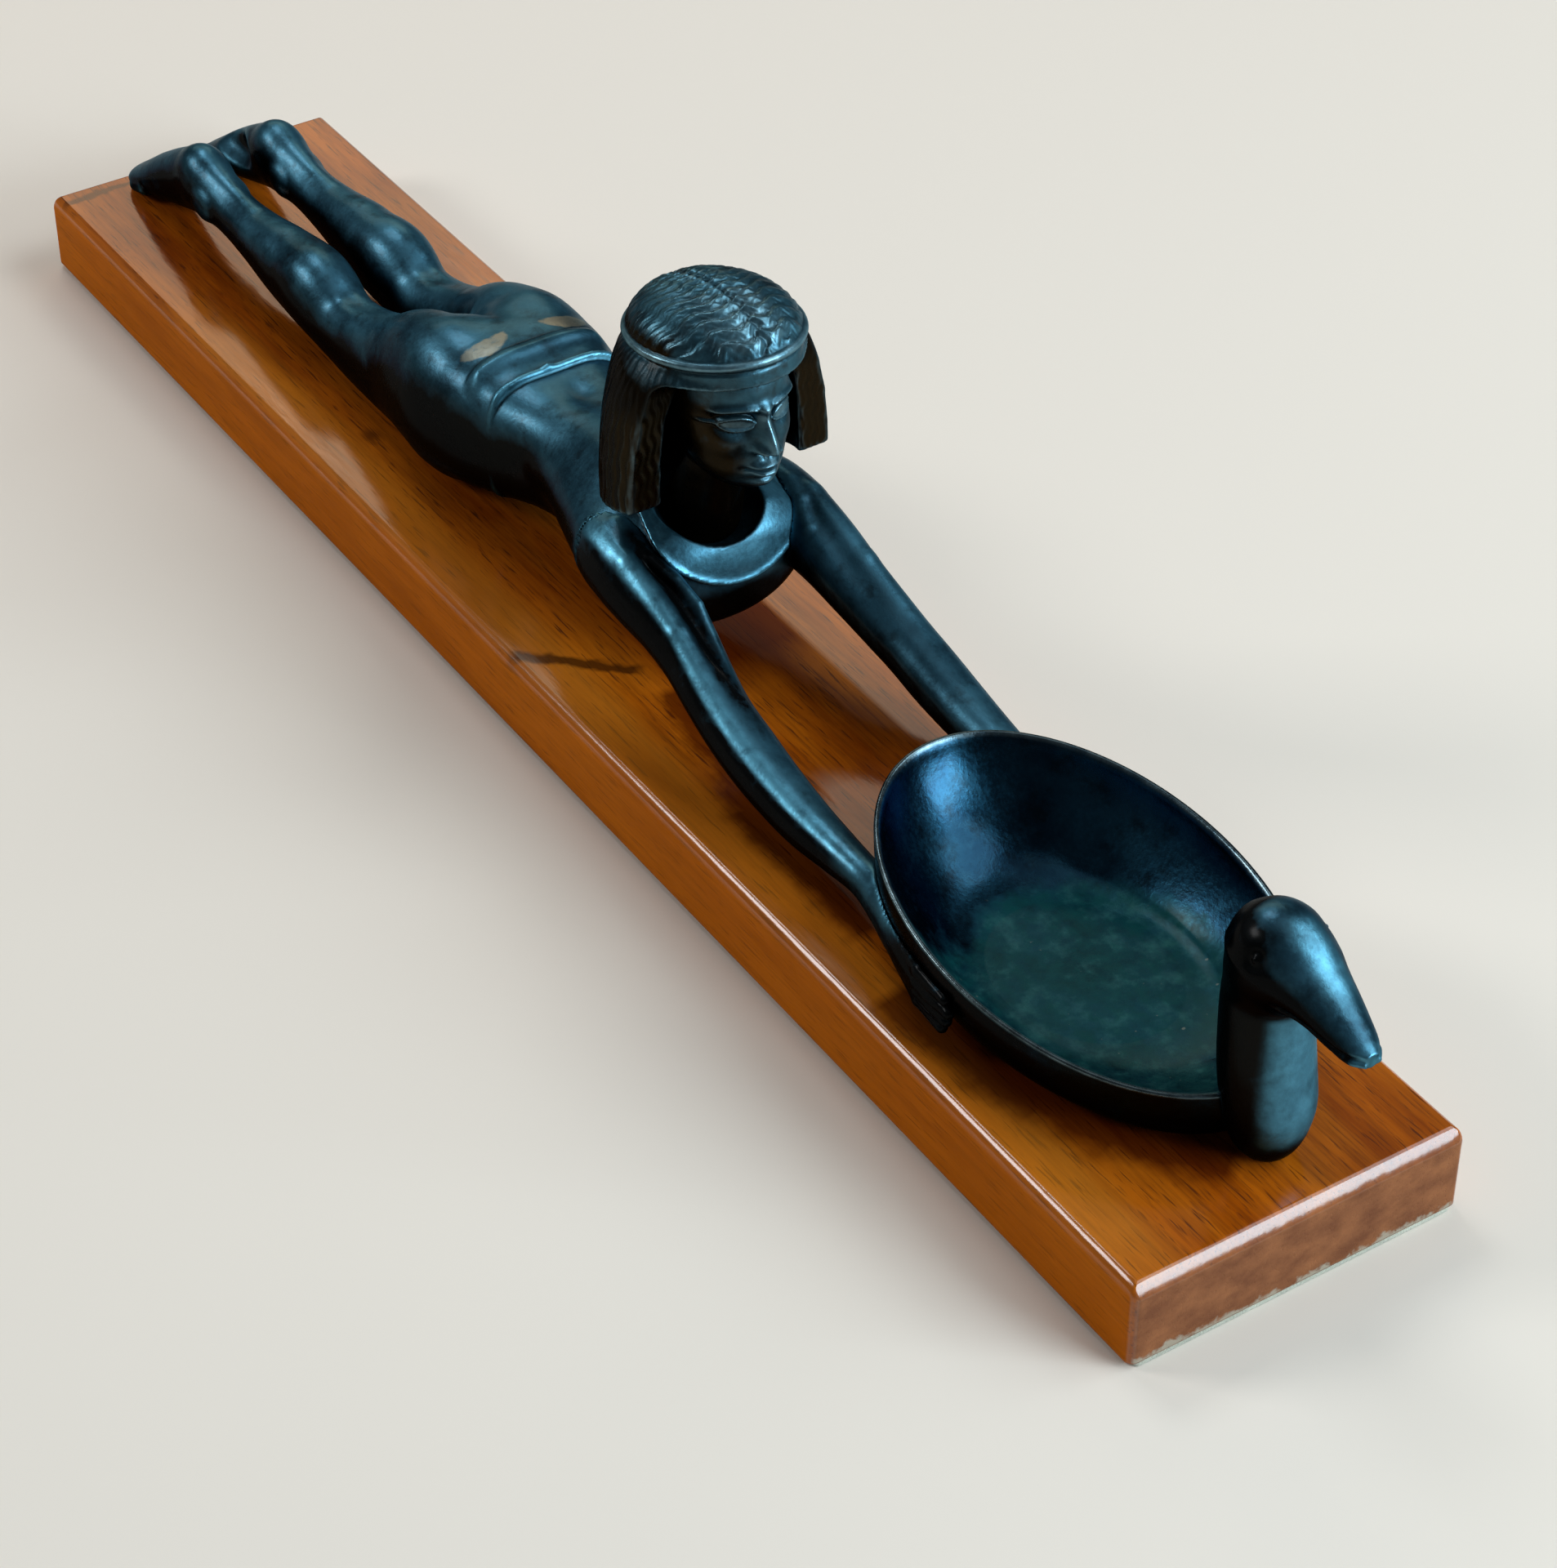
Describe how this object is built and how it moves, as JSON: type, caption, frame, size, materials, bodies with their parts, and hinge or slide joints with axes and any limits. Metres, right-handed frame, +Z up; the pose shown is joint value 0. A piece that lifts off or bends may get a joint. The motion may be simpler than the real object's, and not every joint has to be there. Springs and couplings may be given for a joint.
{
  "type": "swimmer figurine holding a duck dish on a board",
  "caption": "Long prone figure of patinated bronze holding a shallow oval dish shaped like a duck, mounted on a varnished oblong wooden board, for display and small items.",
  "frame": {"origin": "middle of the underside of the baize pad, which rests on the table", "axes": "+X along the board towards the duck's head, +Y towards the swimmer's own left, +Z up"},
  "size_m": [0.326, 0.0544, 0.0797],
  "materials": {
    "varnished_board": "glossy varnish over reddish-brown mahogany",
    "baize": "matt grey-green felt",
    "dark_bronze": "dark blue-green patina, semi-gloss, worn on the high spots",
    "dish_bronze": "dark teal patina with grey-green dusting inside",
    "dowel_rod": "drawn rod, unpolished",
    "screw_steel": "zinc-plated",
    "washer_steel": "zinc-plated"
  },
  "bodies": {
    "root": {"base_board": "varnished_board", "baize_pad": "baize", "torso_and_legs": "dark_bronze", "head_and_wig": "dark_bronze", "arm_left": "dark_bronze", "arm_right": "dark_bronze", "duck_neck_and_head": "dark_bronze", "duck_dish": "dish_bronze", "neck_dowel": "dowel_rod", "shoulder_dowel_left": "dowel_rod", "shoulder_dowel_right": "dowel_rod", "hand_dowel_left": "dowel_rod", "hand_dowel_right": "dowel_rod", "duck_dowel": "dowel_rod", "mounting_screw_knee_left": "screw_steel", "mounting_screw_knee_right": "screw_steel", "mounting_screw_duck": "screw_steel", "washer_knee_left": "washer_steel", "washer_knee_right": "washer_steel", "washer_duck": "washer_steel"}
  },
  "joints": []
}
